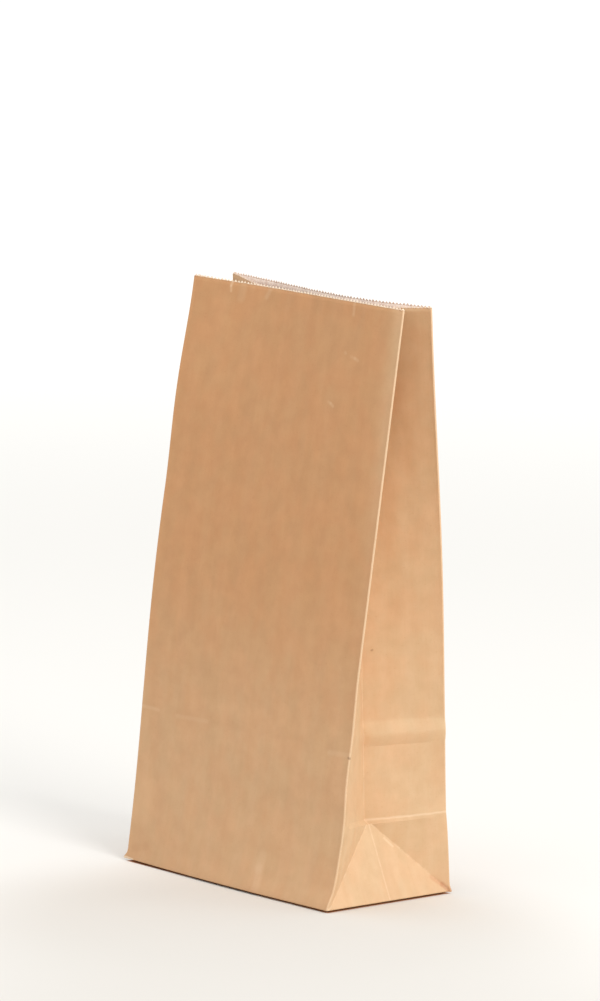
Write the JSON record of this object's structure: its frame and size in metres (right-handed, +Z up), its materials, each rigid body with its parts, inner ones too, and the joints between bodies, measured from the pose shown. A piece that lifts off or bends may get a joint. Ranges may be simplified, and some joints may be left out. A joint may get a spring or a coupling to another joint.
{
  "type": "paper bag",
  "caption": "Open flat-bottomed brown paper bag with folded side gussets and a pinked mouth, standing on its base.",
  "frame": {"origin": "on the floor, under the middle of the bag's bottom", "axes": "+Z up towards the mouth, +X along the width of the panels, -Y out of the front panel"},
  "size_m": [0.1556, 0.0826, 0.2971],
  "materials": {
    "kraft_paper": "matt, unprinted, fibrous"
  },
  "bodies": {
    "root": {"paper_bag": "kraft_paper"}
  },
  "joints": []
}
